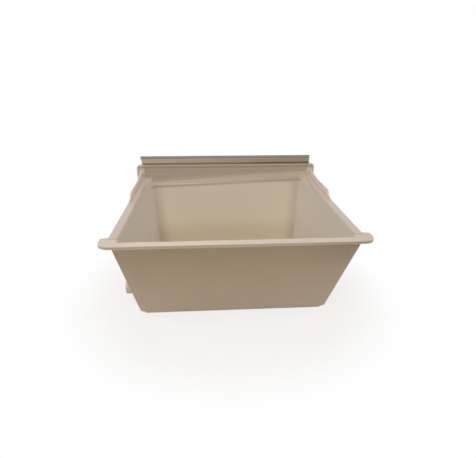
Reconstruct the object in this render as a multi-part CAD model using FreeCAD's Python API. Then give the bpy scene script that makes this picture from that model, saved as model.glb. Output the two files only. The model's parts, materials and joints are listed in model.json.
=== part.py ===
import FreeCAD, Part
import math
import os

# Fridge crisper drawer, in millimetres. X runs across the drawer, the handle faces -Y and Z is up.
# The origin lies under the middle of the overall box, on the surface that the pan stands on.
# Distances called "forward" are counted from the rear rim's inner edge towards the handle.

# Pan: inner size at the rim, height from rim to underside, walls and their slopes in degrees
rim_inner_width = 310.0
rim_inner_length = 336.0
pan_height = 170.0
wall = 3.0
floor_thickness = 3.0
side_draft = 3.2
front_draft = 2.7
rear_slope = 31.9
rear_band = 10.0
front_corner_radius = 8.0
pan_edge_radius = 3.5
rear_web_reach = 4.0
rear_web_foot_reach = 2.8
rear_web_foot = 5.0
rear_web_thickness = 2.0

# Rim: flange with a turned-down lip, carried out sideways at the rear as two ears
side_flange = 13.5
rear_flange = 14.0
flange_thickness = 2.6
rim_lip_depth = 4.2
rim_edge_radius = 1.2
rim_inner_bevel = 1.5
ear_reach = 10.0
ear_length = 28.5
ear_rear_radius = 16.0
ear_front_radius = 3.5
ear_root_radius = 4.0

# Side rail: an upright edge on the flange that climbs in one S-shaped step on its way forward
rail_thickness = 3.0
step_start = 161.5
step_length = 26.0
step_rise = 11.5

# Front end of the pan: flared wall top, and side walls that open out to the panel
front_lip_reach = 8.0
front_lip_height = 11.0
front_lip_drop = 6.0
flare_length = 92.0
flare_width = 13.0
runner_flare = 5.5

# Front panel: plate with a return rim round its back edge and a rail along its top
panel_overhang = 13.5
panel_above_rim = 21.3
panel_floor_gap = 7.0
panel_thickness = 3.0
panel_corner_radius = 7.0
panel_rim_depth = 6.0
panel_rim_thickness = 2.4
panel_front_edge = 1.5
top_rail_height = 5.9
top_rail_depth = 3.0
top_rail_end_gap = 16.0

# Slide rails that hold the panel on the pan's front wall
slide_rail_spacing = 190.0
slide_rail_length = 60.0
slide_rail_drop = 55.0
slide_neck_width = 8.0
slide_head_width = 16.0
slide_head_thickness = 1.6
slide_head_setback = 2.4
slide_guide_thickness = 2.0
slide_clearance = 0.3

# Handle trim: strip on the panel's top edge, with slanted ends and a finger lip in front
trim_height = 13.2
trim_end_inset = 4.5
trim_end_taper = 8.0
trim_rear_reach = 7.0
trim_rear_lean = 1.8
trim_bevel = 1.5
trim_bevel_depth = 2.0
trim_reveal = 1.3
trim_seat_reach = 2.0
trim_front_reach = 21.0
trim_front_bevel = 3.5
trim_lip_thickness = 2.6
trim_lip_depth = 9.0
trim_stem_depth = 6.0
trim_top_thickness = 3.4
trim_edge_radius = 0.8
tongue_thickness = 2.0
tongue_height = 6.0
tongue_end_gap = 20.0
tongue_clearance = 0.2

# Rear rollers on headed axle pins, carried by bosses low on the side walls
roller_forward = 134.0
roller_above_floor = 30.0
roller_diameter = 24.0
roller_width = 13.0
roller_edge_chamfer = 1.2
roller_tyre = 3.5
roller_recess = 3.0
axle_diameter = 6.0
axle_head_diameter = 10.0
axle_head_thickness = 2.0
axle_bore_clearance = 0.08
axle_seat_clearance = 0.05
roller_side_play = 0.3
boss_diameter = 16.0
boss_root_diameter = 22.0
boss_reach = 16.0
boss_bore_depth = 10.0

Vector = FreeCAD.Vector

# Levels and planes that several pieces share
rim_z = pan_height
rail_z = rim_z + step_rise
panel_seat = rim_inner_length + front_lip_reach
front_lip_top_z = rim_z - front_lip_drop
front_lip_foot_z = front_lip_top_z - front_lip_height
panel_top_z = rim_z + panel_above_rim
flange_half_width = rim_inner_width / 2 + side_flange
ear_half_width = flange_half_width + ear_reach
panel_width = 2 * (flange_half_width + panel_overhang)
trim_front_width = panel_width - 2 * trim_end_inset
frontmost = panel_seat + trim_front_reach
rear_rim_y = (frontmost - rear_flange) / 2
above_all = panel_top_z + trim_height + pan_height


def tan(degrees):
    return math.tan(math.radians(degrees))


def slant(thickness, degrees):
    # level thickness of a wall that leans by this angle
    return thickness / math.cos(math.radians(degrees))


def at(x, forward, z):
    return Vector(x, rear_rim_y - forward, z)


def side_face(points):
    # flat face in the drawer's side view, from (forward, z) points
    corners = [at(0, forward, z) for forward, z in points]
    return Part.Face(Part.makePolygon(corners + corners[:1]))


def across(face, x_from, x_to):
    # sweep a side-view face across the drawer
    moved = face.translated(Vector(x_from, 0, 0))
    return moved.extrude(Vector(x_to - x_from, 0, 0))


def plan_prism(points, z_from, z_to):
    # upright prism on a plan outline of (x, forward) points
    corners = [at(x, forward, z_from) for x, forward in points]
    outline = Part.makePolygon(corners + corners[:1])
    return Part.Face(outline).extrude(Vector(0, 0, z_to - z_from))


def mirrored(shape):
    return shape.mirror(Vector(0, 0, 0), Vector(1, 0, 0))


def both_sides(shape):
    return [shape, mirrored(shape)]


def half_width_at(z):
    return rim_inner_width / 2 - (rim_z - z) * tan(side_draft)


def front_at(z):
    return rim_inner_length - (rim_z - z) * tan(front_draft)


def rear_at(z):
    return (rim_z - rear_band - z) * tan(rear_slope)


def tub(growth, bottom_z, top_z):
    # tapered tub offset outwards by growth: side view with an upright band above the sloping rear,
    # cut to the drafted end view, then rounded up the front corners and along the other edges
    slope_shift = slant(growth, rear_slope)
    front_shift = slant(growth, front_draft)
    band_z = rim_z - rear_band - (slope_shift - growth) / tan(rear_slope)
    side_view = side_face([
        (rear_at(bottom_z) - slope_shift, bottom_z),
        (front_at(bottom_z) + front_shift, bottom_z),
        (front_at(top_z) + front_shift, top_z),
        (-growth, top_z),
        (-growth, band_z),
    ])
    low_half = half_width_at(bottom_z) + slant(growth, side_draft)
    high_half = half_width_at(top_z) + slant(growth, side_draft)
    end_view = [(-low_half, bottom_z), (low_half, bottom_z), (high_half, top_z), (-high_half, top_z)]
    corners = [at(x, -rear_flange, z) for x, z in end_view]
    end_face = Part.Face(Part.makePolygon(corners + corners[:1]))
    ends = end_face.extrude(Vector(0, -frontmost - rear_flange, 0))
    body = across(side_view, -panel_width, panel_width).common(ends)
    middle_y = rear_rim_y - rim_inner_length / 2
    below_top = [edge for edge in body.Edges if edge.BoundBox.ZMin < top_z - 1]
    front_corners = [edge for edge in below_top if edge.BoundBox.YMax < middle_y and edge.BoundBox.ZLength > 1]
    body = body.makeFillet(front_corner_radius + growth, front_corners)
    rest = []
    for edge in body.Edges:
        is_bottom = edge.BoundBox.ZMax < bottom_z + 1
        is_rear = edge.BoundBox.YMin > middle_y and edge.BoundBox.ZMin < top_z - 1
        if is_bottom or is_rear:
            rest.append(edge)
    return body.makeFillet(pan_edge_radius + growth, rest)


def rear_webs():
    # stiffening webs that carry the rear wall out past the side walls, up to the ears
    top_z = rim_z - flange_thickness / 2
    slope_shift = slant(rear_web_thickness, rear_slope)
    band_z = rim_z - rear_band
    outer_band_z = band_z - (slope_shift - rear_web_thickness) / tan(rear_slope)
    foot = rear_at(rear_web_foot)
    slab = across(side_face([
        (foot, rear_web_foot),
        (0, band_z),
        (0, top_z),
        (-rear_web_thickness, top_z),
        (-rear_web_thickness, outer_band_z),
        (foot - slope_shift, rear_web_foot),
    ]), -panel_width, panel_width)
    wall_half = half_width_at(rear_web_foot) + slant(wall, side_draft)
    low_half = wall_half + rear_web_foot_reach
    high_half = half_width_at(top_z) + slant(wall, side_draft) + rear_web_reach
    half = [(wall_half, rear_web_foot), (low_half, rear_web_foot + rear_web_foot_reach), (high_half, top_z)]
    end_view = half + [(-x, z) for x, z in reversed(half)]
    corners = [at(x, -rear_flange, z) for x, z in end_view]
    end_face = Part.Face(Part.makePolygon(corners + corners[:1]))
    return slab.common(end_face.extrude(Vector(0, -frontmost, 0)))


def step_curve():
    # side-view line of the rail's top: level with the rim, S-shaped step, level again
    radius = (step_length ** 2 + step_rise ** 2) / (4 * step_rise)
    half_turn = math.asin(step_length / 2 / radius) / 2
    bulge = radius * (1 - math.cos(half_turn))
    run = radius * math.sin(half_turn)
    step_end = step_start + step_length
    middle = at(0, step_start + step_length / 2, (rim_z + rail_z) / 2)
    first = at(0, step_start, rim_z)
    last = at(0, step_end, rail_z)
    return [
        Part.LineSegment(at(0, -rear_flange, rim_z), first).toShape(),
        Part.Arc(first, at(0, step_start + run, rim_z + bulge), middle).toShape(),
        Part.Arc(middle, at(0, step_end - run, rail_z - bulge), last).toShape(),
        Part.LineSegment(last, at(0, panel_seat, rail_z)).toShape(),
    ]


def under_rail(bottom_z):
    # everything below the rail's top line down to this level, wider than the ears
    low_rear = at(0, -rear_flange, bottom_z)
    low_front = at(0, panel_seat, bottom_z)
    closing = [
        Part.LineSegment(at(0, panel_seat, rail_z), low_front).toShape(),
        Part.LineSegment(low_front, low_rear).toShape(),
        Part.LineSegment(low_rear, at(0, -rear_flange, rim_z)).toShape(),
    ]
    outline = Part.Wire(Part.__sortEdges__(step_curve() + closing))
    return across(Part.Face(outline), -panel_width, panel_width)


def upright_edges(shape, half_width, forward):
    # upright edges at this distance either side of the middle and this far forward
    found = []
    for edge in shape.Edges:
        middle = edge.CenterOfMass
        is_there = abs(abs(middle.x) - half_width) < 0.1 and abs(rear_rim_y - middle.y - forward) < 0.1
        if is_there and edge.BoundBox.ZLength > 1:
            found.append(edge)
    return found


def faces_up(face):
    u_from, u_to, v_from, v_to = face.ParameterRange
    return face.normalAt((u_from + u_to) / 2, (v_from + v_to) / 2).z > 0.5


def outer_top_edges(shape):
    # edges where an upper face meets an upright one, apart from the cut end at the panel
    seat_y = rear_rim_y - panel_seat
    found = []
    for edge in shape.Edges:
        upper = [face for face in shape.ancestorsOfType(edge, Part.Face) if faces_up(face)]
        if len(upper) == 1 and edge.BoundBox.YMax > seat_y + 0.1:
            found.append(edge)
    return found


def rim_plan():
    # plan outline of the rim's outer edge: rear ears, straight runners, flared front ends
    ear_front = ear_length - rear_flange
    flare_from = panel_seat - flare_length
    front_half = flange_half_width + runner_flare
    half = [
        (ear_half_width, -rear_flange),
        (ear_half_width, ear_front),
        (flange_half_width, ear_front),
        (flange_half_width, flare_from),
        (front_half, panel_seat),
    ]
    other = [(-x, forward) for x, forward in reversed(half)]
    block = plan_prism(half + other, 0, above_all)
    rear_radius = min(ear_rear_radius, 0.6 * ear_length)
    front_radius = min(ear_front_radius, 0.5 * ear_reach, 0.4 * ear_length)
    root_radius = min(ear_root_radius, 0.9 * (ear_reach - front_radius))
    block = block.makeFillet(rear_radius, upright_edges(block, ear_half_width, -rear_flange))
    block = block.makeFillet(front_radius, upright_edges(block, ear_half_width, ear_front))
    return block.makeFillet(root_radius, upright_edges(block, flange_half_width, ear_front))


def rim():
    # flange with its turned-down lip, hollow below, and the rails left standing at its outer edges
    plan = rim_plan()
    base = [face for face in plan.Faces if face.BoundBox.ZLength < 0.1 and face.BoundBox.ZMin < 1][0]
    full = under_rail(rim_z - rim_lip_depth).common(plan).removeSplitter()
    full = full.makeFillet(rim_edge_radius, outer_top_edges(full))
    hollow = base.makeOffset2D(-flange_thickness).extrude(Vector(0, 0, rim_z - flange_thickness))
    between = base.makeOffset2D(-rail_thickness).extrude(Vector(0, 0, above_all))
    past_step = [
        (-panel_width, step_start),
        (panel_width, step_start),
        (panel_width, frontmost),
        (-panel_width, frontmost),
    ]
    trough = between.common(plan_prism(past_step, rim_z, above_all))
    return full.cut([hollow, trough])


def inner_rim_edges(shape):
    # inner top edges of the rim, along the rear and the sides up to where the front corners open out
    flare_from = panel_seat - flare_length
    found = []
    for edge in shape.Edges:
        box = edge.BoundBox
        on_rim = box.ZMin > rim_z - 0.1
        before_flare = rear_rim_y - box.YMin < flare_from + 0.1 and box.YMax < rear_rim_y + 0.1
        inside = abs(edge.CenterOfMass.x) < rim_inner_width / 2 + 0.1 and box.ZMax < rim_z + 0.1
        if on_rim and before_flare and inside:
            found.append(edge)
    return found


def flare_plan(growth):
    # plan of one front corner where the side wall opens out, offset outwards by growth
    inner = rim_inner_width / 2
    start = panel_seat - flare_length - growth
    inboard = inner - front_lip_reach
    return [(inboard, start), (inner + growth, start), (inner + flare_width + growth, panel_seat),
            (inboard, panel_seat)]


def front_lip_band(thickness):
    # side view of the flared top of the front wall
    foot = front_at(front_lip_foot_z)
    return side_face([
        (foot, front_lip_foot_z),
        (panel_seat, front_lip_top_z),
        (panel_seat, front_lip_top_z - thickness),
        (foot, front_lip_foot_z - 2 * thickness),
    ])


def lip_end_cheek():
    # closes the corner between the front lip's end and the floor of the flare
    foot = front_at(front_lip_foot_z)
    outline = side_face([
        (foot, front_lip_foot_z - 2 * wall),
        (panel_seat, front_lip_top_z - wall),
        (panel_seat, front_lip_top_z),
        (foot, front_lip_top_z),
    ])
    inner = half_width_at(front_lip_foot_z)
    return across(outline, inner, inner + wall)


def above_front_lip():
    foot = front_at(front_lip_foot_z)
    return side_face([
        (foot - wall, front_lip_foot_z),
        (foot, front_lip_foot_z),
        (panel_seat, front_lip_top_z),
        (panel_seat, above_all),
        (foot - wall, above_all),
    ])


def roller_axis(x):
    return at(x, roller_forward, roller_above_floor)


def boss_face():
    # distance of the bosses' flat ends from the middle
    return half_width_at(roller_above_floor) + slant(wall, side_draft) + boss_reach


def roller_boss():
    root = half_width_at(roller_above_floor)
    base = roller_axis(root)
    length = boss_face() - root
    return Part.makeCone(boss_root_diameter / 2, boss_diameter / 2, length, base, Vector(1, 0, 0))


def boss_bore():
    radius = axle_diameter / 2 + axle_seat_clearance
    start = boss_face() - boss_bore_depth
    return Part.makeCylinder(radius, boss_bore_depth, roller_axis(start), Vector(1, 0, 0))


def slide_rail(x):
    # upright T-rail on the outside of the front wall
    top = rim_z - slide_rail_drop
    bottom = top - slide_rail_length
    back = front_at(bottom)
    head_front = panel_seat - slide_head_setback
    head_back = head_front - slide_head_thickness
    neck = side_face([(back, bottom), (head_front, bottom), (head_front, top), (back, top)])
    head = side_face([(head_back, bottom), (head_front, bottom), (head_front, top), (head_back, top)])
    rail = across(neck, x - slide_neck_width / 2, x + slide_neck_width / 2)
    return rail.fuse(across(head, x - slide_head_width / 2, x + slide_head_width / 2))


def slide_places():
    return [-slide_rail_spacing / 2, slide_rail_spacing / 2]


def drawer_pan():
    lip_half = half_width_at(front_lip_foot_z)
    shell = tub(wall, 0, rim_z)
    flare_floor_z = front_lip_top_z - wall
    flare_wall = plan_prism(flare_plan(wall), flare_floor_z, rim_z - flange_thickness / 2)
    lip = across(front_lip_band(wall), -lip_half, lip_half)
    added = [rim(), lip, rear_webs()] + both_sides(flare_wall) + both_sides(roller_boss())
    added += both_sides(lip_end_cheek())
    added += [slide_rail(x) for x in slide_places()]
    pan = shell.multiFuse(added)
    cavity = tub(0, floor_thickness, above_all)
    flare_void = plan_prism(flare_plan(0), front_lip_top_z, above_all)
    recess = across(above_front_lip(), -lip_half, lip_half)
    removed = [cavity, recess] + both_sides(flare_void) + both_sides(boss_bore())
    pan = pan.cut(removed).removeSplitter()
    return pan.makeChamfer(rim_inner_bevel, inner_rim_edges(pan))


def panel_outline(inset):
    # front view of the panel with rounded corners, drawn at the seat plane
    half = panel_width / 2 - inset
    low = panel_floor_gap + inset
    high = panel_top_z - inset
    plate = Part.makeBox(2 * half, panel_thickness, high - low, at(-half, panel_seat, low))
    corners = [edge for edge in plate.Edges if edge.BoundBox.YLength > panel_thickness / 2]
    rounded = plate.makeFillet(panel_corner_radius - inset, corners)
    seat_y = rear_rim_y - panel_seat
    return [face for face in rounded.Faces if abs(face.CenterOfMass.y - seat_y) < 0.1][0]


def slide_guide(x):
    # two hooked lips on the panel's back that run behind a T-rail's head, and a stop that sits on the rail
    top = rim_z - slide_rail_drop
    bottom = top - slide_rail_length
    hook_front = panel_seat - slide_head_setback - slide_head_thickness - slide_clearance
    hook_back = hook_front - slide_guide_thickness
    inner = slide_head_width / 2 + slide_clearance
    outer = inner + slide_guide_thickness
    hook_end = slide_neck_width / 2 + slide_clearance
    cheek = side_face([(hook_back, bottom), (panel_seat, bottom), (panel_seat, top), (hook_back, top)])
    hook = side_face([(hook_back, bottom), (hook_front, bottom), (hook_front, top), (hook_back, top)])
    lips = []
    for side in (-1, 1):
        lips.append(across(cheek, x + side * inner, x + side * outer))
        lips.append(across(hook, x + side * hook_end, x + side * outer))
    stop_top = top + slide_guide_thickness
    stop = side_face([(hook_back, top), (panel_seat, top), (panel_seat, stop_top), (hook_back, stop_top)])
    lips.append(across(stop, x - outer, x + outer))
    return lips


def front_panel():
    seat_face = panel_outline(0)
    plate = seat_face.extrude(Vector(0, -panel_thickness, 0))
    front_y = rear_rim_y - panel_seat - panel_thickness
    front_edges = [edge for edge in plate.Edges if edge.BoundBox.YMax < front_y + 0.1]
    plate = plate.makeChamfer(panel_front_edge, front_edges)
    rim_ring = seat_face.cut(panel_outline(panel_rim_thickness))
    ring = rim_ring.extrude(Vector(0, panel_rim_depth, 0))
    rail_half = panel_width / 2 - top_rail_end_gap
    rail_low = panel_top_z - top_rail_height
    rail_back = panel_seat - top_rail_depth
    rail = across(side_face([
        (rail_back, rail_low),
        (panel_seat, rail_low),
        (panel_seat, panel_top_z),
        (rail_back, panel_top_z),
    ]), -rail_half, rail_half)
    tongue_half = trim_front_width / 2 - tongue_end_gap
    tongue_back = panel_seat + (panel_thickness - tongue_thickness) / 2
    tongue_front = tongue_back + tongue_thickness
    tongue = across(side_face([
        (tongue_back, panel_top_z - panel_front_edge),
        (tongue_front, panel_top_z - panel_front_edge),
        (tongue_front, panel_top_z + tongue_height),
        (tongue_back, panel_top_z + tongue_height),
    ]), -tongue_half, tongue_half)
    added = [ring, rail, tongue]
    for x in slide_places():
        added += slide_guide(x)
    return plate.multiFuse(added).removeSplitter()


def handle_trim():
    foot_z = panel_top_z
    top_z = panel_top_z + trim_height
    rear = panel_seat - trim_rear_reach
    seat_back = panel_seat - trim_seat_reach
    front = panel_seat + trim_front_reach
    stem_front = panel_seat + panel_thickness / 2 + trim_stem_depth
    body = side_face([
        (seat_back, foot_z),
        (seat_back, foot_z + trim_reveal),
        (rear + trim_rear_lean, foot_z + trim_reveal),
        (rear, top_z - trim_bevel),
        (rear + trim_bevel_depth, top_z),
        (front - trim_front_bevel, top_z),
        (front, top_z - trim_front_bevel),
        (front, top_z - trim_lip_depth),
        (front - trim_lip_thickness, top_z - trim_lip_depth),
        (front - trim_lip_thickness, top_z - trim_top_thickness),
        (stem_front, top_z - trim_top_thickness),
        (stem_front, foot_z),
    ])
    half = trim_front_width / 2
    strip = across(body, -half, half)
    long_edges = [edge for edge in strip.Edges
                  if edge.BoundBox.XLength > half
                  and edge.BoundBox.ZMin > foot_z + trim_reveal + trim_edge_radius]
    strip = strip.makeFillet(trim_edge_radius, long_edges)
    rear_half = half - trim_end_taper
    ends = [(-half, front), (half, front), (rear_half, rear), (-rear_half, rear)]
    strip = strip.common(plan_prism(ends, 0, above_all))
    groove_half = half - tongue_end_gap + tongue_clearance
    groove_back = panel_seat + (panel_thickness - tongue_thickness) / 2 - tongue_clearance
    groove_front = groove_back + tongue_thickness + 2 * tongue_clearance
    groove_top = foot_z + tongue_height + tongue_clearance
    groove = side_face([
        (groove_back, foot_z),
        (groove_front, foot_z),
        (groove_front, groove_top),
        (groove_back, groove_top),
    ])
    return strip.cut(across(groove, -groove_half, groove_half))


def turned(points):
    # solid of revolution about the roller's axis, from (x, radius) points
    centre = roller_axis(0)
    corners = [centre + Vector(x, 0, radius) for x, radius in points]
    outline = Part.Face(Part.makePolygon(corners + corners[:1]))
    return outline.revolve(centre, Vector(1, 0, 0), 360)


def roller():
    radius = roller_diameter / 2
    bore = axle_diameter / 2 + axle_bore_clearance
    inner = boss_face() + roller_side_play
    outer = inner + roller_width
    web = outer - roller_recess
    wheel = turned([
        (inner, bore),
        (inner, radius),
        (outer, radius),
        (outer, radius - roller_tyre),
        (web, radius - roller_tyre),
        (web, bore),
    ])
    tread = [edge for edge in wheel.Edges
             if edge.BoundBox.ZLength > 2 * radius - 0.1 and edge.BoundBox.XMin > outer - 0.1]
    return wheel.makeChamfer(roller_edge_chamfer, tread)


def axle_pin():
    shaft = axle_diameter / 2
    head = axle_head_diameter / 2
    start = boss_face() - boss_bore_depth
    shoulder = boss_face() + 2 * roller_side_play + roller_width - roller_recess
    end = shoulder + axle_head_thickness
    return turned([
        (start, 0),
        (start, shaft),
        (shoulder, shaft),
        (shoulder, head),
        (end, head),
        (end, 0),
    ])


pieces = {
    "drawer_pan": drawer_pan(),
    "front_panel": front_panel(),
    "handle_trim": handle_trim(),
    "right_roller": roller(),
    "left_roller": mirrored(roller()),
    "right_axle_pin": axle_pin(),
    "left_axle_pin": mirrored(axle_pin()),
}

os.makedirs("parts", exist_ok=True)
for name, shape in pieces.items():
    shape.exportStep("parts/" + name + ".step")
    box = shape.BoundBox
    print(name, shape.isValid(), len(shape.Solids), round(shape.Volume), box)
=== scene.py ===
"""Dresses the fridge crisper drawer: moulded finishes with painted light and shade, mould marks, studio and
camera.
"""

from __future__ import annotations

import json
import logging
import math
from dataclasses import dataclass
from enum import Enum

import bpy
from mathutils import Matrix, Vector

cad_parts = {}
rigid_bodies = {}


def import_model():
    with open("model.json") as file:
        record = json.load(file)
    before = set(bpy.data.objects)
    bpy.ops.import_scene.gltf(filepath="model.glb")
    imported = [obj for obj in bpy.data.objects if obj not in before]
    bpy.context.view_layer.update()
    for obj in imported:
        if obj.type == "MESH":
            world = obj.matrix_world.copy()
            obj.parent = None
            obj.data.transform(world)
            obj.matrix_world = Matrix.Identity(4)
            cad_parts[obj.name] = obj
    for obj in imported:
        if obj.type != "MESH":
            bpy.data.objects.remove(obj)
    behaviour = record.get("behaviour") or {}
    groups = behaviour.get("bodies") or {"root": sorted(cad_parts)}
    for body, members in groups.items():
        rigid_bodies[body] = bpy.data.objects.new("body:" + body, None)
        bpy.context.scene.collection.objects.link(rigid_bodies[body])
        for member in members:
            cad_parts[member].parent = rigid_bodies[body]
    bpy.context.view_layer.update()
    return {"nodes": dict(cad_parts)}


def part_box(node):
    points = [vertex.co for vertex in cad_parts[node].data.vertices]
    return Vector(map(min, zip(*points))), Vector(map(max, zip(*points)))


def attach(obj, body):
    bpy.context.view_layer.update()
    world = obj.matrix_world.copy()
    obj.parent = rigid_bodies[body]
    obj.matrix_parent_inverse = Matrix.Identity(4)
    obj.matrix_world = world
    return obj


LOG = logging.getLogger("crisper_drawer")
DRAWER_BODY = "drawer"
PHOTO_WIDTH_PX = 476.0
SENSOR_WIDTH_MM = 36.0
MM = 0.001

Colour = tuple[float, float, float]
Point = tuple[float, float, float]
Socket = bpy.types.NodeSocket


class NodeName(Enum):
    """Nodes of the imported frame, all of which are dressed here."""

    PAN = "drawer_pan"
    PANEL = "front_panel"
    TRIM = "handle_trim"
    LEFT_ROLLER = "left_roller"
    RIGHT_ROLLER = "right_roller"
    LEFT_PIN = "left_axle_pin"
    RIGHT_PIN = "right_axle_pin"


def srgb(red: int, green: int, blue: int) -> Colour:
    """Turns 8-bit display values into linear ones, by the sRGB curve.

    Args:
        red: Red, 0 to 255.
        green: Green, 0 to 255.
        blue: Blue, 0 to 255.

    Returns:
        The linear colour.
    """

    def linear(value: int) -> float:
        """Linear value of one channel."""
        share = value / 255.0
        return share / 12.92 if share <= 0.04045 else ((share + 0.055) / 1.055) ** 2.4

    return (linear(red), linear(green), linear(blue))


# Painted shade: the dark colour mixed in where shade falls, in corners, seams, creases and on one ear.
PAINTED_SHADE = srgb(128, 108, 82)
WHITE: Colour = (1.0, 1.0, 1.0)


@dataclass
class NodeSheet:
    """Adds nodes to a tree and links them, so that a material reads as a list of steps."""

    tree: bpy.types.NodeTree

    def add(self, kind: str, **settings: object) -> bpy.types.Node:
        """Adds one node.

        Args:
            kind: Blender's node type.
            settings: Properties to set on the node.

        Returns:
            The new node.
        """
        node = self.tree.nodes.new(kind)
        for name, value in settings.items():
            setattr(node, name, value)
        return node

    def feed(self, socket: Socket, value: object) -> None:
        """Links a socket to the input, or sets the input's own value.

        Args:
            socket: The input.
            value: A socket, a number, a vector or a colour.
        """
        if isinstance(value, bpy.types.NodeSocket):
            self.tree.links.new(value, socket)
        elif socket.type == "RGBA":
            socket.default_value = (*value, 1.0)
        else:
            socket.default_value = value

    def group(self, tree: bpy.types.NodeTree, values: dict[str, object]) -> bpy.types.NodeOutputs:
        """Places a shared node group with its own values.

        Args:
            tree: The group.
            values: Value by input name.

        Returns:
            The group's outputs.
        """
        node = self.add("ShaderNodeGroup", node_tree=tree)
        for label, value in values.items():
            self.feed(node.inputs[label], value)
        return node.outputs

    def math(self, operation: str, first: object, second: object = 0.0, third: object = 0.0) -> Socket:
        """One Math node.

        Args:
            operation: Blender's name of the operation.
            first: First operand.
            second: Second operand.
            third: Third operand, where the operation has one.

        Returns:
            The node's output.
        """
        node = self.add("ShaderNodeMath", operation=operation)
        for socket, value in zip(node.inputs, (first, second, third)):
            self.feed(socket, value)
        return node.outputs[0]

    def product(self, first: Socket, *others: Socket) -> Socket:
        """Product of masks.

        Args:
            first: The first mask.
            others: The masks that it is multiplied by.

        Returns:
            The product.
        """
        for other in others:
            first = self.math("MULTIPLY", first, other)
        return first

    def absolute(self, value: Socket) -> Socket:
        """The value without its sign."""
        return self.math("ABSOLUTE", value)

    def mix(self, share: object, first: object, second: object) -> Socket:
        """Mixes two colours.

        Args:
            share: Share of the second colour.
            first: First colour.
            second: Second colour.

        Returns:
            The mixed colour.
        """
        node = self.add("ShaderNodeMix", data_type="RGBA")
        colour_inputs = [socket for socket in node.inputs if socket.type == "RGBA"]
        self.feed(node.inputs["Factor"], share)
        for socket, colour in zip(colour_inputs, (first, second)):
            self.feed(socket, colour)
        return next(socket for socket in node.outputs if socket.type == "RGBA")

    def noise(self, place: Socket, scale: object, detail: float, stretch: Point | None = None) -> Socket:
        """Noise over a place, between 0 and 1.

        Args:
            place: Coordinates.
            scale: Noise scale, in cells per metre.
            detail: Noise octaves.
            stretch: Factors on the coordinates, where the pattern runs one way.

        Returns:
            The noise value.
        """
        if stretch is not None:
            scaled = self.add("ShaderNodeMapping")
            self.feed(scaled.inputs["Vector"], place)
            scaled.inputs["Scale"].default_value = stretch
            place = scaled.outputs[0]
        node = self.add("ShaderNodeTexNoise")
        self.feed(node.inputs["Vector"], place)
        self.feed(node.inputs["Scale"], scale)
        node.inputs["Detail"].default_value = detail
        return node.outputs["Fac"]

    def object_place(self) -> Socket:
        """Object coordinates, in metres in the frame."""
        return self.add("ShaderNodeTexCoord").outputs["Object"]

    def object_axes(self) -> tuple[Socket, Socket, Socket]:
        """X, Y and Z of the object coordinates."""
        node = self.add("ShaderNodeSeparateXYZ")
        self.feed(node.inputs[0], self.object_place())
        return node.outputs[0], node.outputs[1], node.outputs[2]


@dataclass(frozen=True)
class Fade:
    """A soft step between two values of a height, a place, a distance or a noise."""

    start: float
    end: float

    def _step(self, sheet: NodeSheet, value: Socket, low: float, high: float) -> Socket:
        """Maps a value smoothly from low at the start to high at the end.

        Args:
            sheet: The material's node sheet.
            value: The value that is mapped.
            low: Result before the step.
            high: Result after the step.

        Returns:
            The mapped value.
        """
        node = sheet.add("ShaderNodeMapRange", interpolation_type="SMOOTHSTEP")
        for socket, given in zip(node.inputs, (value, self.start, self.end, low, high)):
            sheet.feed(socket, given)
        return node.outputs[0]

    def rise(self, sheet: NodeSheet, value: Socket, strength: float = 1.0) -> Socket:
        """0 before the step, the strength after it."""
        return self._step(sheet, value, 0.0, strength)

    def fall(self, sheet: NodeSheet, value: Socket, strength: float = 1.0) -> Socket:
        """The strength before the step, 0 after it."""
        return self._step(sheet, value, strength, 0.0)


def start_group(name: str, inputs: dict[str, object], outputs: dict[str, str]) -> tuple:
    """Starts a shader node group with named sockets.

    Args:
        name: The group's name.
        inputs: Default value by input name; a colour makes a colour socket.
        outputs: Socket type by output name.

    Returns:
        The group's node sheet, the sockets given to it and the sockets of its result.
    """
    tree = bpy.data.node_groups.new(name, "ShaderNodeTree")
    for label, default in inputs.items():
        kind = "NodeSocketFloat" if isinstance(default, float) else "NodeSocketColor"
        socket = tree.interface.new_socket(label, in_out="INPUT", socket_type=kind)
        socket.default_value = default if isinstance(default, float) else (*default, 1.0)
    for label, kind in outputs.items():
        tree.interface.new_socket(label, in_out="OUTPUT", socket_type=kind)
    sheet = NodeSheet(tree)
    return sheet, sheet.add("NodeGroupInput").outputs, sheet.add("NodeGroupOutput").inputs


@dataclass(frozen=True)
class MouldGrain:
    """Fine etched grain over slow waviness of a moulded face."""

    grain_scale: float = 900.0
    grain_detail: float = 3.0
    wave_scale: float = 14.0
    wave_detail: float = 1.0
    wave_weight: float = 2.5
    roughness: float = 0.45
    spread: float = 0.12
    noise_middle: float = 0.5

    def build(self) -> bpy.types.NodeTree:
        """Builds the group.

        Returns:
            Group with a Height for the bump and a Roughness.
        """
        inputs = {
            "Grain Scale": self.grain_scale,
            "Wave Scale": self.wave_scale,
            "Roughness": self.roughness,
            "Spread": self.spread,
        }
        outputs = {"Height": "NodeSocketFloat", "Roughness": "NodeSocketFloat"}
        sheet, given, result = start_group("mould_grain", inputs, outputs)
        place = sheet.object_place()
        fine = sheet.noise(place, given["Grain Scale"], self.grain_detail)
        wave = sheet.noise(place, given["Wave Scale"], self.wave_detail)
        sheet.feed(result["Height"], sheet.math("MULTIPLY_ADD", wave, self.wave_weight, fine))
        swing = sheet.math("SUBTRACT", wave, self.noise_middle)
        rough = sheet.math("MULTIPLY_ADD", swing, given["Spread"], given["Roughness"])
        sheet.feed(result["Roughness"], rough)
        return sheet.tree


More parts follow.
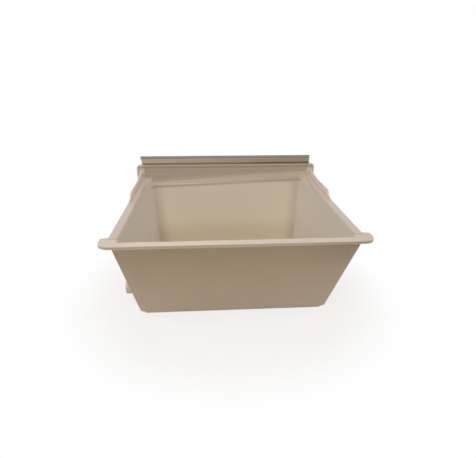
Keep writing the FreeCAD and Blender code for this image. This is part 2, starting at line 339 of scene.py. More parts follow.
@dataclass(frozen=True)
class Ageing:
    """Yellowing in soft clouds, with faint streaks where the melt flowed."""

    fresh: Colour = (0.7, 0.6, 0.5)
    aged: Colour = (0.6, 0.5, 0.35)
    amount: float = 0.5
    cloud_scale: float = 7.0
    cloud_detail: float = 3.0
    cloud_edge: Fade = Fade(0.35, 0.7)
    streak_scale: float = 120.0
    streak_detail: float = 2.0
    streak_stretch: Point = (1.0, 1.0, 0.05)
    streak_weight: float = 0.3

    def build(self) -> bpy.types.NodeTree:
        """Builds the group.

        Returns:
            Group with a Colour.
        """
        inputs = {
            "Fresh": self.fresh,
            "Aged": self.aged,
            "Amount": self.amount,
            "Cloud Scale": self.cloud_scale,
        }
        sheet, given, result = start_group("ageing", inputs, {"Colour": "NodeSocketColor"})
        place = sheet.object_place()
        cloud = self.cloud_edge.rise(sheet, sheet.noise(place, given["Cloud Scale"], self.cloud_detail))
        streak = sheet.noise(place, self.streak_scale, self.streak_detail, self.streak_stretch)
        streak = sheet.math("MULTIPLY_ADD", streak, self.streak_weight, -self.streak_weight / 2)
        share = sheet.product(sheet.math("ADD", cloud, streak), given["Amount"])
        share = sheet.math("MAXIMUM", share, 0.0)
        sheet.feed(result["Colour"], sheet.mix(share, given["Fresh"], given["Aged"]))
        return sheet.tree


@dataclass(frozen=True)
class Scuffs:
    """Short rub marks along the way that the drawer slides."""

    amount: float = 0.5
    detail: float = 2.0
    line_scale: float = 420.0
    line_stretch: Point = (1.0, 0.04, 1.0)
    line_edge: Fade = Fade(0.6, 0.72)
    patch_scale: float = 18.0
    patch_edge: Fade = Fade(0.5, 0.68)

    def build(self) -> bpy.types.NodeTree:
        """Builds the group.

        Returns:
            Group with a Mask.
        """
        sheet, given, result = start_group("scuffs", {"Amount": self.amount}, {"Mask": "NodeSocketFloat"})
        place = sheet.object_place()
        lines = sheet.noise(place, self.line_scale, self.detail, self.line_stretch)
        patch = sheet.noise(place, self.patch_scale, self.detail)
        mask = sheet.product(self.line_edge.rise(sheet, lines), self.patch_edge.rise(sheet, patch))
        sheet.feed(result["Mask"], sheet.product(mask, given["Amount"]))
        return sheet.tree


class SharedEffects:
    """The node groups that every finish uses, each built once."""

    def __init__(self) -> None:
        """Builds the groups."""
        self.grain = MouldGrain().build()
        self.ageing = Ageing().build()
        self.scuffs = Scuffs().build()


@dataclass
class FinishSheet:
    """A finish in the making: its material, its nodes, its shader and the colour so far."""

    material: bpy.types.Material
    sheet: NodeSheet
    shader: bpy.types.Node
    colour: Socket

    def tint(self, share: object, colour: object) -> None:
        """Mixes a colour in.

        Args:
            share: A number or a mask.
            colour: The colour that is mixed in.
        """
        self.colour = self.sheet.mix(share, self.colour, colour)

    def put_on(self, *nodes: bpy.types.Object) -> None:
        """Gives the shader its colour and puts the material on every slot of the frame's nodes.

        Args:
            nodes: The nodes' objects.
        """
        self.sheet.feed(self.shader.inputs["Base Color"], self.colour)
        for node in nodes:
            for place in node.material_slots:
                place.material = self.material
            LOG.info("%s dressed in %s", node.name, self.material.name)


@dataclass(frozen=True)
class MouldedPlastic:
    """A moulded plastic finish: colour, ageing, rub marks and grain."""

    name: str
    fresh: Colour
    aged: Colour
    scuffed: Colour
    ageing: float = 0.5
    scuffing: float = 0.4
    scuff_roughness: float = 0.2
    roughness: float = 0.42
    grain_strength: float = 0.12
    grain_height: float = 0.2 * MM

    def start(self, effects: SharedEffects) -> FinishSheet:
        """Makes the material up to its colour, so that a piece can add its own marks.

        Args:
            effects: The shared node groups.

        Returns:
            The finish so far.
        """
        material = bpy.data.materials.new(self.name)
        material.use_nodes = True
        sheet = NodeSheet(material.node_tree)
        shader = material.node_tree.nodes["Principled BSDF"]
        age = sheet.group(effects.ageing, {"Fresh": self.fresh, "Aged": self.aged, "Amount": self.ageing})
        rub = sheet.group(effects.scuffs, {"Amount": self.scuffing})
        grain = sheet.group(effects.grain, {"Roughness": self.roughness})
        rough = sheet.math("MULTIPLY_ADD", rub["Mask"], self.scuff_roughness, grain["Roughness"])
        sheet.feed(shader.inputs["Roughness"], rough)
        bump = sheet.add("ShaderNodeBump")
        bump.inputs["Strength"].default_value = self.grain_strength
        bump.inputs["Distance"].default_value = self.grain_height
        sheet.feed(bump.inputs["Height"], grain["Height"])
        sheet.feed(shader.inputs["Normal"], bump.outputs["Normal"])
        colour = sheet.mix(rub["Mask"], age["Colour"], self.scuffed)
        return FinishSheet(material, sheet, shader, colour)


@dataclass(frozen=True)
class TiltedLine:
    """A straight line across the drawer, as a height that changes with X."""

    middle_z: float
    slope: float

    def height_over(self, sheet: NodeSheet, x: Socket, z: Socket) -> Socket:
        """Height of a point over the line.

        Args:
            sheet: The material's node sheet.
            x: The point's X.
            z: The point's Z.

        Returns:
            The height, negative below the line.
        """
        line_z = sheet.math("MULTIPLY_ADD", x, self.slope, self.middle_z)
        return sheet.math("SUBTRACT", z, line_z)


# Edges of painted shade: the shade on the lip and the panel's back changes over the top line, and a painted
# dark line runs along the foot line; both tilt as that shade does.
LIP_TOP_LINE = TiltedLine(163.8 * MM, -0.044)
LIP_FOOT_LINE = TiltedLine(152.4 * MM, -0.038)


@dataclass(frozen=True)
class PanPlace:
    """Where a point of the pan lies, as sockets of one material."""

    x: Socket
    y: Socket
    z: Socket
    below_rim: Socket
    from_side: Socket
    from_front: Socket
    past_rear: Socket
    on_front: Socket


@dataclass(frozen=True)
class PanPlanes:
    """The inner planes of the pan's walls, from which the marks are measured."""

    rim_half_width: float = 155.0 * MM
    front_rim_y: float = -160.5 * MM
    rear_rim_y: float = 175.5 * MM
    rim_z: float = 170.0 * MM
    floor_top_z: float = 3.0 * MM
    rear_band: float = 10.0 * MM
    side_draft: float = math.radians(3.2)
    front_draft: float = math.radians(2.7)
    rear_slope: float = math.radians(31.9)
    front_skin: Fade = Fade(1.0 * MM, 4.0 * MM)

    def measure(self, sheet: NodeSheet) -> PanPlace:
        """Measures a point of the pan from each plane.

        Args:
            sheet: The material's node sheet.

        Returns:
            The point's place, its distances and the mask of the front wall.
        """
        x, y, z = sheet.object_axes()
        below_rim = sheet.math("SUBTRACT", self.rim_z, z)
        side = sheet.math("MULTIPLY_ADD", below_rim, -math.tan(self.side_draft), self.rim_half_width)
        from_side = sheet.math("SUBTRACT", side, sheet.absolute(x))
        front = sheet.math("MULTIPLY_ADD", below_rim, math.tan(self.front_draft), self.front_rim_y)
        from_front = sheet.math("SUBTRACT", y, front)
        on_front = self.front_skin.fall(sheet, sheet.absolute(from_front))
        rear_at_zero = self.rear_rim_y - (self.rim_z - self.rear_band) * math.tan(self.rear_slope)
        rear = sheet.math("MULTIPLY_ADD", z, math.tan(self.rear_slope), rear_at_zero)
        past_rear = sheet.math("SUBTRACT", y, rear)
        return PanPlace(x, y, z, below_rim, from_side, from_front, past_rear, on_front)


PAN = PanPlanes()


@dataclass(frozen=True)
class InnerWallPaintedLight:
    """Painted light on the inner side walls and the front wall, and painted shade on the front wall towards
    its foot.
    """

    side_wall_painted_light: Colour = srgb(233, 225, 217)
    side_skin: Fade = Fade(0.6 * MM, 1.6 * MM)
    side_top: Fade = Fade(1.4 * MM, 2.2 * MM)
    front_wall_painted_light: Colour = srgb(240, 233, 217)
    front_foot_painted_shade: Colour = srgb(223, 213, 191)
    foot_edge: Fade = Fade(36.0 * MM, 84.0 * MM)
    floor_edge: Fade = Fade(PAN.floor_top_z, 36.0 * MM)

    def paint(self, work: FinishSheet, place: PanPlace) -> None:
        """Paints light and shade on the walls.

        Args:
            work: The pan's finish.
            place: The point's place.
        """
        sheet = work.sheet
        on_side = self.side_skin.fall(sheet, sheet.absolute(place.from_side))
        # Painted light: the inner side walls are made paler than the pan's colour.
        work.tint(sheet.product(on_side, self.side_top.rise(sheet, place.below_rim)), self.side_wall_painted_light)
        # Painted light on the front wall, with painted shade towards its foot.
        wall = sheet.mix(self.foot_edge.rise(sheet, place.z), self.front_foot_painted_shade, self.front_wall_painted_light)
        work.tint(sheet.product(place.on_front, self.floor_edge.rise(sheet, place.z)), wall)


@dataclass(frozen=True)
class RimPaintedLight:
    """Painted light and shade on flange, rear ears, inner bevel and rails, and painted shade along the
    seams at the side flanges' rear ends.

    Depths count down from the rim, so those of the rails are negative.
    """

    seam_y: float = PAN.rear_rim_y - 9.0 * MM
    seam_half_width: float = 1.0 * MM
    seam_painted_shade: Fade = Fade(0.4 * MM, 2.0 * MM)
    seam_strength: float = 0.4
    seam_end: Fade = Fade(-13.5 * MM, -12.5 * MM)
    top_face: Fade = Fade(0.2 * MM, 0.6 * MM)
    flange_painted_shade: Colour = srgb(224, 208, 197)
    rear_flange_painted_light: Colour = srgb(240, 226, 214)
    pale_from: Fade = Fade(-40.0 * MM, 60.0 * MM)
    pale_to: Fade = Fade(140.0 * MM, 155.0 * MM)
    ear_painted_shade: Fade = Fade(-162.0 * MM, -150.0 * MM)
    ear_strength: float = 0.1
    bevel_painted_shade: Colour = srgb(204, 190, 176)
    bevel_side: Fade = Fade(-2.2 * MM, -1.6 * MM)
    bevel_depth: Fade = Fade(1.3 * MM, 1.7 * MM)
    rail_painted_light: Colour = srgb(246, 238, 229)
    rail_rise: Fade = Fade(-5.0 * MM, -0.2 * MM)

    def paint(self, work: FinishSheet, place: PanPlace) -> None:
        """Paints light and shade on the rim and paints shade along the seams.

        Args:
            work: The pan's finish.
            place: The point's place.
        """
        sheet = work.sheet
        on_top = self.top_face.fall(sheet, place.below_rim)
        seam_edge = Fade(self.seam_y - self.seam_half_width, self.seam_y + self.seam_half_width)
        ahead = seam_edge.fall(sheet, place.y)
        # Painted shade: the side flanges darker than the rear rim, as if lit less.
        work.tint(sheet.product(on_top, ahead), self.flange_painted_shade)
        at_rear = sheet.product(on_top, seam_edge.rise(sheet, place.y))
        pale = sheet.product(self.pale_from.rise(sheet, place.x), self.pale_to.fall(sheet, place.x))
        # Painted light on the middle of the rear rim.
        work.tint(sheet.product(at_rear, pale), self.rear_flange_painted_light)
        # Painted shade on the ear towards -X.
        work.tint(sheet.product(at_rear, self.ear_painted_shade.fall(sheet, place.x, self.ear_strength)), PAINTED_SHADE)
        # Painted shade on the rounded inner edge of the side flanges.
        on_bevel = sheet.product(
            self.bevel_side.rise(sheet, place.from_side),
            self.bevel_depth.fall(sheet, place.below_rim),
        )
        work.tint(sheet.product(on_bevel, ahead), self.bevel_painted_shade)
        # Painted light on the rails.
        work.tint(self.rail_rise.fall(sheet, place.below_rim), self.rail_painted_light)
        # Painted shade along the seam where the side flanges meet the rear rim.
        from_seam = sheet.absolute(sheet.math("SUBTRACT", place.y, self.seam_y))
        seam = self.seam_painted_shade.fall(sheet, from_seam, self.seam_strength)
        work.tint(sheet.product(seam, self.seam_end.rise(sheet, place.from_side), on_top), PAINTED_SHADE)


@dataclass(frozen=True)
class RearWallPaintedLight:
    """Painted light and shade on the outer rear wall.

    Painted shade makes the wall duller upwards and in the upper corner towards -X; painted light makes it
    paler at its foot and under the rim.
    """

    wall_skin: Fade = Fade(0.8 * MM, 1.8 * MM)
    wall_top: Fade = Fade(0.8 * MM, 1.6 * MM)
    high: Colour = srgb(213, 198, 176)
    low: Colour = srgb(241, 230, 214)
    height: Fade = Fade(PAN.floor_top_z, PAN.rim_z)
    foot: Colour = srgb(254, 244, 228)
    foot_edge: Fade = Fade(4.0 * MM, 40.0 * MM)
    under_rim_painted_light: Colour = srgb(246, 236, 219)
    under_rim_foot: Fade = Fade(9.5 * MM, 14.5 * MM)
    under_rim_head: Fade = Fade(2.6 * MM, 4.4 * MM)
    corner_strength: float = 0.2
    corner_side: Fade = Fade(-155.0 * MM, -70.0 * MM)
    corner_height: Fade = Fade(100.0 * MM, 150.0 * MM)

    def paint(self, work: FinishSheet, place: PanPlace) -> None:
        """Paints light and shade on the wall.

        Args:
            work: The pan's finish.
            place: The point's place.
        """
        sheet = work.sheet
        # Painted shade towards the top and painted light towards the foot of the wall.
        colour = sheet.mix(self.height.rise(sheet, place.z), self.low, self.high)
        colour = sheet.mix(self.foot_edge.fall(sheet, place.z), colour, self.foot)
        # Painted light under the rim, against the rim's shadow.
        under_rim_painted_light = sheet.product(
            self.under_rim_foot.fall(sheet, place.below_rim),
            self.under_rim_head.rise(sheet, place.below_rim),
        )
        colour = sheet.mix(under_rim_painted_light, colour, self.under_rim_painted_light)
        # Painted shade in the upper corner towards -X.
        corner_painted_shade = sheet.product(
            self.corner_side.fall(sheet, place.x, self.corner_strength),
            self.corner_height.rise(sheet, place.z),
        )
        colour = sheet.mix(corner_painted_shade, colour, PAINTED_SHADE)
        outside = self.wall_skin.rise(sheet, place.past_rear)
        work.tint(sheet.product(outside, self.wall_top.rise(sheet, place.below_rim)), colour)


@dataclass(frozen=True)
class FrontWallPaintedShade:
    """Painted shade in the front wall's corners, on the duller lip over that wall and as the dark line
    along its foot.
    """

    corner: Fade = Fade(0.0, 30.0 * MM)
    corner_strength: float = 0.3
    lip_skin: Fade = Fade(-0.6 * MM, -0.1 * MM)
    lip_foot: Fade = Fade(152.0 * MM, 153.0 * MM)
    lip_end: Fade = Fade(0.0, 2.0 * MM)
    lip_painted_shade: Colour = srgb(200, 187, 168)
    lip_shade: Colour = srgb(180, 167, 148)
    lip_shade_edge: Fade = Fade(-2.0 * MM, 1.0 * MM)
    line: Fade = Fade(0.0, 4.2 * MM)
    line_strength: float = 0.42
    line_reach: Fade = Fade(0.0, 14.0 * MM)

    def paint(self, work: FinishSheet, place: PanPlace) -> None:
        """Paints shade on the lip, in the front wall's corners and along the lip's foot.

        Args:
            work: The pan's finish.
            place: The point's place.
        """
        sheet = work.sheet
        # Painted shade in the corners of the front wall.
        corner_painted_shade = self.corner.fall(sheet, place.from_side, self.corner_strength)
        work.tint(sheet.product(corner_painted_shade, place.on_front), PAINTED_SHADE)
        # Painted shade on the lip, darker above the tilted line.
        over_top = LIP_TOP_LINE.height_over(sheet, place.x, place.z)
        lip_colour = sheet.mix(self.lip_shade_edge.rise(sheet, over_top), self.lip_painted_shade, self.lip_shade)
        on_lip = sheet.product(
            self.lip_skin.fall(sheet, place.from_front),
            self.lip_foot.rise(sheet, place.z),
            self.lip_end.rise(sheet, place.from_side),
        )
        work.tint(on_lip, lip_colour)
        # Painted shade: a soft dark line along the lip's foot, standing in for the crease's shadow.
        from_line = sheet.absolute(LIP_FOOT_LINE.height_over(sheet, place.x, place.z))
        near_front = self.line_reach.fall(sheet, sheet.absolute(place.from_front))
        work.tint(sheet.product(self.line.fall(sheet, from_line, self.line_strength), near_front), PAINTED_SHADE)


@dataclass
class DrawerPan:
    """The moulded pan, with the painted light and shade of its inner walls, its rim, its rear wall and its
    front wall.
    """

    node: bpy.types.Object
    finish: MouldedPlastic
    planes: PanPlanes = PAN
    inner_walls: InnerWallPaintedLight = InnerWallPaintedLight()
    rim: RimPaintedLight = RimPaintedLight()
    rear_wall: RearWallPaintedLight = RearWallPaintedLight()
    front_wall: FrontWallPaintedShade = FrontWallPaintedShade()

    def dress(self, effects: SharedEffects) -> None:
        """Paints light and shade over the finish, one wall after another.

        Args:
            effects: The shared node groups.
        """
        work = self.finish.start(effects)
        place = self.planes.measure(work.sheet)
        for marks in (self.inner_walls, self.rim, self.rear_wall, self.front_wall):
            marks.paint(work, place)
        work.put_on(self.node)


@dataclass
class FrontPanel:
    """The panel in front of the pan, whose back shows over the pan's front wall."""

    node: bpy.types.Object
    finish: MouldedPlastic
    back_face: Fade = Fade(-169.5 * MM, -168.5 * MM)
    # Painted shade: the panel's back darker, as if in the trim's shadow.
    shaded: Colour = srgb(203, 191, 173)
    # Painted light at the strip's foot and head, against the shade of lip and rail.
    pale: Colour = srgb(229, 217, 200)
    strip_foot: Fade = Fade(-1.0 * MM, 7.0 * MM)
    strip_head: Fade = Fade(177.4 * MM, 184.4 * MM)
    strip_end: Fade = Fade(168.5 * MM, 171.5 * MM)
    # Painted light on the wings and on the top rail's face.
    wing_painted_light: Colour = srgb(247, 238, 229)
    rail: Colour = srgb(226, 215, 199)
    rail_face: Fade = Fade(-167.5 * MM, -166.5 * MM)

    def dress(self, effects: SharedEffects) -> None:
        """Paints shade on the back strip that the pan's rails frame, paler at its foot and head, and paints
        light on the top rail and the wings.

        Args:
            effects: The shared node groups.
        """
        work = self.finish.start(effects)
        sheet = work.sheet
        x, y, z = sheet.object_axes()
        # Painted shade on the strip, painted light at its foot and head, on the rail's face and on the
        # wings.
        foot = self.strip_foot.fall(sheet, LIP_TOP_LINE.height_over(sheet, x, z))
        head = self.strip_head.rise(sheet, z)
        strip = sheet.mix(sheet.math("MAXIMUM", foot, head), self.shaded, self.pale)
        strip = sheet.mix(self.rail_face.rise(sheet, y), strip, self.rail)
        back = sheet.mix(self.strip_end.fall(sheet, sheet.absolute(x)), self.wing_painted_light, strip)
        work.tint(self.back_face.rise(sheet, y), back)
        work.put_on(self.node)


@dataclass
class HandleTrim:
    """The strip along the panel's top edge."""

    node: bpy.types.Object
    finish: MouldedPlastic
    pale_end: Colour = srgb(229, 218, 206)
    dark_end: Colour = srgb(193, 183, 168)
    end_to_end: Fade = Fade(-170.0 * MM, 170.0 * MM)
    fading: float = 0.85
    foot_z: float = 193.9 * MM
    foot_line: Fade = Fade(0.8 * MM, 2.0 * MM)
    # Painted shade: the dark line along the trim's foot, darker towards -X.
    foot_shade_pale: Colour = srgb(170, 153, 135)
    foot_shade_dark: Colour = srgb(130, 116, 100)
    foot_fade: Fade = Fade(-110.0 * MM, 0.0)
    rear_face: Fade = Fade(-166.0 * MM, -165.0 * MM)
    worn: Colour = srgb(111, 102, 84)
    worn_depth: Fade = Fade(0.4 * MM, 1.6 * MM)
    gloss: float = 0.3

    def dress(self, effects: SharedEffects) -> None:
        """Fades the strip from end to end, paints shade along its foot and darkens its top, which hands
        have worn.

        Args:
            effects: The shared node groups.
        """
        work = self.finish.start(effects)
        sheet = work.sheet
        x, y, z = sheet.object_axes()
        work.tint(self.fading, sheet.mix(self.end_to_end.rise(sheet, x), self.dark_end, self.pale_end))
        # Painted shade along the foot.
        from_foot = sheet.absolute(sheet.math("SUBTRACT", z, self.foot_z))
        foot_painted_shade = sheet.product(self.foot_line.fall(sheet, from_foot), self.rear_face.rise(sheet, y))
        work.tint(foot_painted_shade, sheet.mix(self.foot_fade.rise(sheet, x), self.foot_shade_dark, self.foot_shade_pale))
        top_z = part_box(self.node.name)[1][2]
        work.tint(self.worn_depth.fall(sheet, sheet.math("SUBTRACT", top_z, z)), self.worn)
        work.shader.inputs["Specular IOR Level"].default_value = self.gloss
        work.put_on(self.node)


@dataclass
class RollerPair:
    """The rear rollers and the pins that they turn on."""

    rollers: list[bpy.types.Object]
    pins: list[bpy.types.Object]
    roller_finish: MouldedPlastic
    pin_finish: MouldedPlastic

    def dress(self, effects: SharedEffects) -> None:
        """Dresses rollers and pins.

        Args:
            effects: The shared node groups.
        """
        self.roller_finish.start(effects).put_on(*self.rollers)
        self.pin_finish.start(effects).put_on(*self.pins)


@dataclass
class EjectorMarks:
    """Round witness marks that the mould's ejector pins leave on the pan's floor."""

    columns: int = 3
    rows: int = 3
    field_width: float = 200.0 * MM
    field_length: float = 150.0 * MM
    middle: Point = (0.0, -38.0 * MM, PAN.floor_top_z)
    mark_radius: float = 4.5 * MM
    mark_sides: int = 40
    bead_radius: float = 0.18 * MM
    bead_sides: int = 8

    @staticmethod
    def _circle(sheet: NodeSheet, radius: Socket, sides: int) -> Socket:
        """A circle as a curve.

        Args:
            sheet: The tree's node sheet.
            radius: The circle's radius.
            sides: How many straight sides it has.

        Returns:
            The curve.
        """
        circle = sheet.add("GeometryNodeCurvePrimitiveCircle")
        circle.inputs["Resolution"].default_value = sides
        sheet.feed(circle.inputs["Radius"], radius)
        return circle.outputs["Curve"]

    def _tree(self, material: bpy.types.Material) -> bpy.types.NodeTree:
        """Builds the node tree: a grid of points, a ring on each.

        Args:
            material: Finish of the rings.

        Returns:
            The geometry node tree.
        """
        tree = bpy.data.node_groups.new("ejector_marks", "GeometryNodeTree")
        tree.interface.new_socket("Geometry", in_out="OUTPUT", socket_type="NodeSocketGeometry")
        for label in ("Field Width", "Field Length", "Mark Radius", "Bead Radius"):
            tree.interface.new_socket(label, in_out="INPUT", socket_type="NodeSocketFloat")
        for label in ("Columns", "Rows"):
            tree.interface.new_socket(label, in_out="INPUT", socket_type="NodeSocketInt")
        tree.interface.new_socket("Middle", in_out="INPUT", socket_type="NodeSocketVector")
        sheet = NodeSheet(tree)
        given = sheet.add("NodeGroupInput").outputs
        grid = sheet.add("GeometryNodeMeshGrid")
        for label, source in (("Size X", "Field Width"), ("Size Y", "Field Length"),
                              ("Vertices X", "Columns"), ("Vertices Y", "Rows")):
            sheet.feed(grid.inputs[label], given[source])
        placed = sheet.add("GeometryNodeTransform")
        sheet.feed(placed.inputs["Geometry"], grid.outputs["Mesh"])
        sheet.feed(placed.inputs["Translation"], given["Middle"])
        ring = sheet.add("GeometryNodeCurveToMesh")
        sheet.feed(ring.inputs["Curve"], self._circle(sheet, given["Mark Radius"], self.mark_sides))
        sheet.feed(ring.inputs["Profile Curve"], self._circle(sheet, given["Bead Radius"], self.bead_sides))
        copies = sheet.add("GeometryNodeInstanceOnPoints")
        sheet.feed(copies.inputs["Points"], placed.outputs["Geometry"])
        sheet.feed(copies.inputs["Instance"], ring.outputs["Mesh"])
        real = sheet.add("GeometryNodeRealizeInstances")
        sheet.feed(real.inputs["Geometry"], copies.outputs["Instances"])
        coat = sheet.add("GeometryNodeSetMaterial")
        sheet.feed(coat.inputs["Geometry"], real.outputs["Geometry"])
        coat.inputs["Material"].default_value = material
        sheet.feed(sheet.add("NodeGroupOutput").inputs["Geometry"], coat.outputs["Geometry"])
        return tree

    def build(self, material: bpy.types.Material) -> bpy.types.Object:
        """Makes the marks as one plain mesh that rides on the drawer.

        Args:
            material: Finish of the marks.

        Returns:
            The piece.
        """
        source = bpy.data.objects.new("mark_source", bpy.data.meshes.new("mark_source"))
        bpy.context.collection.objects.link(source)
        modifier = source.modifiers.new("marks", "NODES")
        modifier.node_group = self._tree(material)
        sizes = {
            "Field Width": self.field_width,
            "Field Length": self.field_length,
            "Mark Radius": self.mark_radius,
            "Bead Radius": self.bead_radius,
            "Columns": self.columns,
            "Rows": self.rows,
            "Middle": self.middle,
        }
        for item in modifier.node_group.interface.items_tree:
            if item.name in sizes:
                modifier[item.identifier] = sizes[item.name]
        graph = bpy.context.evaluated_depsgraph_get()
        mesh = bpy.data.meshes.new_from_object(source.evaluated_get(graph))
        bpy.data.objects.remove(source)
        piece = bpy.data.objects.new("ejector_marks", mesh)
        bpy.context.collection.objects.link(piece)
        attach(piece, DRAWER_BODY)
        LOG.info("%s: %d faces", piece.name, len(mesh.polygons))
        return piece


@dataclass(frozen=True)
class SoftBox:
    """One large square studio lamp, aimed at the drawer."""

    name: str
    place: Point
    size: float
    power: float
    highlights: bool = True
    aim: Point = (0.0, 0.0, 0.1)
    colour: Colour = (1.0, 0.945, 0.875)

    def build(self) -> None:
        """Adds the lamp to the scene."""
        lamp = bpy.data.lights.new(self.name, "AREA")
        lamp.size = self.size
        lamp.energy = self.power
        lamp.color = self.colour
        holder = bpy.data.objects.new(self.name, lamp)
        holder.location = self.place
        holder.visible_glossy = self.highlights
        holder.rotation_euler = (Vector(self.aim) - Vector(self.place)).to_track_quat("-Z", "Y").to_euler()
        bpy.context.collection.objects.link(holder)


@dataclass
class Studio:
    """Pale floor, soft light and the camera of the photograph."""

    floor_size: float = 12.0
    floor_colour: Colour = (0.62, 0.52, 0.40)
    floor_glow: float = 0.76
    shadow_edge: Fade = Fade(0.192, 0.32)
    ambient: float = 0.05
    lamps: tuple[SoftBox, ...] = (
        SoftBox("overhead", place=(0.0, 0.0, 1.6), size=1.2, power=3.6),
        SoftBox("camera_side", place=(0.1, 1.0, 1.15), size=0.8, power=8.0),
        SoftBox("left_side", place=(1.5, 0.0, 0.8), size=0.8, power=7.4),
        SoftBox("right_side", place=(-1.5, 0.0, 0.8), size=0.8, power=5.9),
        SoftBox("handle_side", place=(0.0, -1.6, 0.45), size=0.8, power=6.0, highlights=False),
    )
    camera_place: Point = (0.03598, 0.65137, 0.37652)
    camera_heading: float = math.radians(175.785)
    camera_pitch: float = math.radians(21.912)
    camera_roll: float = math.radians(0.352)
    camera_near: float = 10.0 * MM
    focal_px: float = 403.34

    @staticmethod
    def _seen_share(sheet: NodeSheet) -> Socket:
        """1 on rays that show the background, 0 on rays that light the object."""
        path = sheet.add("ShaderNodeLightPath")
        seen = sheet.math("ADD", path.outputs["Is Camera Ray"], path.outputs["Is Glossy Ray"])
        seen = sheet.math("ADD", seen, path.outputs["Is Transmission Ray"])
        return sheet.math("MINIMUM", seen, 1.0)

    @staticmethod
    def _choose(sheet: NodeSheet, share: Socket, first: Socket, second: Socket) -> Socket:
        """Mixes two shaders.

        Args:
            sheet: The material's node sheet.
            share: Share of the second shader.
            first: First shader.
            second: Second shader.

        Returns:
            The mixed shader.
        """
        node = sheet.add("ShaderNodeMixShader")
        for socket, value in zip(node.inputs, (share, first, second)):
            sheet.feed(socket, value)
        return node.outputs[0]

    def _floor_material(self) -> bpy.types.Material:
        """Paper that looks white, keeps the shadow near the object and bounces a plain level of light.

        Returns:
            The material.
        """
        material = bpy.data.materials.new("floor_paper")
        material.use_nodes = True
        sheet = NodeSheet(material.node_tree)
        material.node_tree.nodes.remove(material.node_tree.nodes["Principled BSDF"])
        bounce = sheet.add("ShaderNodeBsdfDiffuse")
        sheet.feed(bounce.inputs["Color"], self.floor_colour)
        shade = sheet.add("ShaderNodeBsdfDiffuse")
        sheet.feed(shade.inputs["Color"], (1.0 - self.floor_glow,) * 3)
        glow = sheet.add("ShaderNodeEmission")
        glow.inputs["Strength"].default_value = self.floor_glow
        near = sheet.add("ShaderNodeAddShader")
        sheet.feed(near.inputs[0], shade.outputs[0])
        sheet.feed(near.inputs[1], glow.outputs[0])
        white = sheet.add("ShaderNodeEmission")
        x, y, _ = sheet.object_axes()
        away = sheet.math("SQRT", sheet.math("ADD", sheet.product(x, x), sheet.product(y, y)))
        shown = self._choose(sheet, self.shadow_edge.rise(sheet, away), near.outputs[0], white.outputs[0])
        result = self._choose(sheet, self._seen_share(sheet), bounce.outputs[0], shown)
        sheet.feed(material.node_tree.nodes["Material Output"].inputs["Surface"], result)
        return material

    def build_floor(self) -> None:
        """Lays the floor under the drawer."""
        half = self.floor_size / 2
        mesh = bpy.data.meshes.new("floor")
        corners = [(-half, -half, 0.0), (half, -half, 0.0), (half, half, 0.0), (-half, half, 0.0)]
        mesh.from_pydata(corners, [], [(0, 1, 2, 3)])
        mesh.materials.append(self._floor_material())
        floor = bpy.data.objects.new("floor", mesh)
        bpy.context.collection.objects.link(floor)

    def build_world(self) -> None:
        """White behind the object, a plain level of light all round."""
        world = bpy.data.worlds.new("studio")
        world.use_nodes = True
        bpy.context.scene.world = world
        sheet = NodeSheet(world.node_tree)
        background = world.node_tree.nodes["Background"]
        sheet.feed(background.inputs["Color"], WHITE)
        strength = sheet.math("MULTIPLY_ADD", self._seen_share(sheet), 1.0 - self.ambient, self.ambient)
        sheet.feed(background.inputs["Strength"], strength)

    def build_camera(self) -> None:
        """Places the camera where the photograph was taken."""
        data = bpy.data.cameras.new("photo_camera")
        data.sensor_fit = "HORIZONTAL"
        data.sensor_width = SENSOR_WIDTH_MM
        data.lens = self.focal_px * SENSOR_WIDTH_MM / PHOTO_WIDTH_PX
        data.clip_start = self.camera_near
        camera = bpy.data.objects.new("photo_camera", data)
        turn = Matrix.Rotation(self.camera_heading, 4, "Z")
        tilt = Matrix.Rotation(math.pi / 2 - self.camera_pitch, 4, "X")
        lean = Matrix.Rotation(self.camera_roll, 4, "Z")
        camera.matrix_world = Matrix.Translation(self.camera_place) @ turn @ tilt @ lean
        bpy.context.collection.objects.link(camera)
        bpy.context.scene.camera = camera

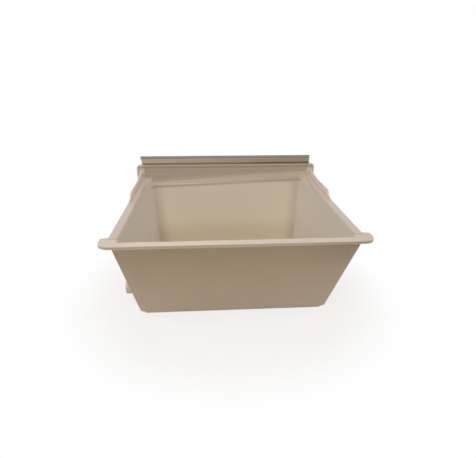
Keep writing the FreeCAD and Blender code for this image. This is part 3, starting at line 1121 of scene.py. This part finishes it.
    def build(self) -> None:
        """Builds the whole studio."""
        bpy.context.scene.view_settings.view_transform = "Standard"
        self.build_floor()
        self.build_world()
        for lamp in self.lamps:
            lamp.build()
        self.build_camera()


PAN_FINISH = MouldedPlastic(
    "almond_pan",
    fresh=srgb(231, 220, 210),
    aged=srgb(225, 211, 193),
    scuffed=srgb(238, 229, 220),
)
PANEL_FINISH = MouldedPlastic(
    "almond_panel",
    fresh=srgb(234, 222, 210),
    aged=srgb(226, 211, 192),
    scuffed=srgb(238, 228, 218),
)
TRIM_FINISH = MouldedPlastic(
    "grey_trim",
    fresh=srgb(200, 187, 170),
    aged=srgb(186, 172, 153),
    scuffed=srgb(210, 199, 184),
    scuffing=0.25,
)
# Paler plastic than the pan, made paler still as painted light against the rollers' shade.
ROLLER_FINISH = MouldedPlastic(
    "pale_roller",
    fresh=srgb(254, 247, 239),
    aged=srgb(247, 236, 221),
    scuffed=srgb(235, 223, 208),
    scuffing=0.7,
)
PIN_FINISH = MouldedPlastic(
    "grey_pin",
    fresh=srgb(196, 182, 164),
    aged=srgb(180, 164, 142),
    scuffed=srgb(170, 156, 138),
)


def main() -> None:
    """Loads the frame, dresses each piece and sets the studio around it."""
    logging.basicConfig(level=logging.INFO, format="%(name)s: %(message)s")
    for thing in list(bpy.data.objects):
        bpy.data.objects.remove(thing)
    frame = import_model()
    nodes = {name: frame["nodes"][name.value] for name in NodeName}
    effects = SharedEffects()
    pan = DrawerPan(nodes[NodeName.PAN], PAN_FINISH)
    pan.dress(effects)
    FrontPanel(nodes[NodeName.PANEL], PANEL_FINISH).dress(effects)
    HandleTrim(nodes[NodeName.TRIM], TRIM_FINISH).dress(effects)
    rollers = [nodes[NodeName.LEFT_ROLLER], nodes[NodeName.RIGHT_ROLLER]]
    pins = [nodes[NodeName.LEFT_PIN], nodes[NodeName.RIGHT_PIN]]
    RollerPair(rollers, pins, ROLLER_FINISH, PIN_FINISH).dress(effects)
    EjectorMarks().build(pan.node.material_slots[0].material)
    Studio().build()


if __name__ == "__main__":
    main()
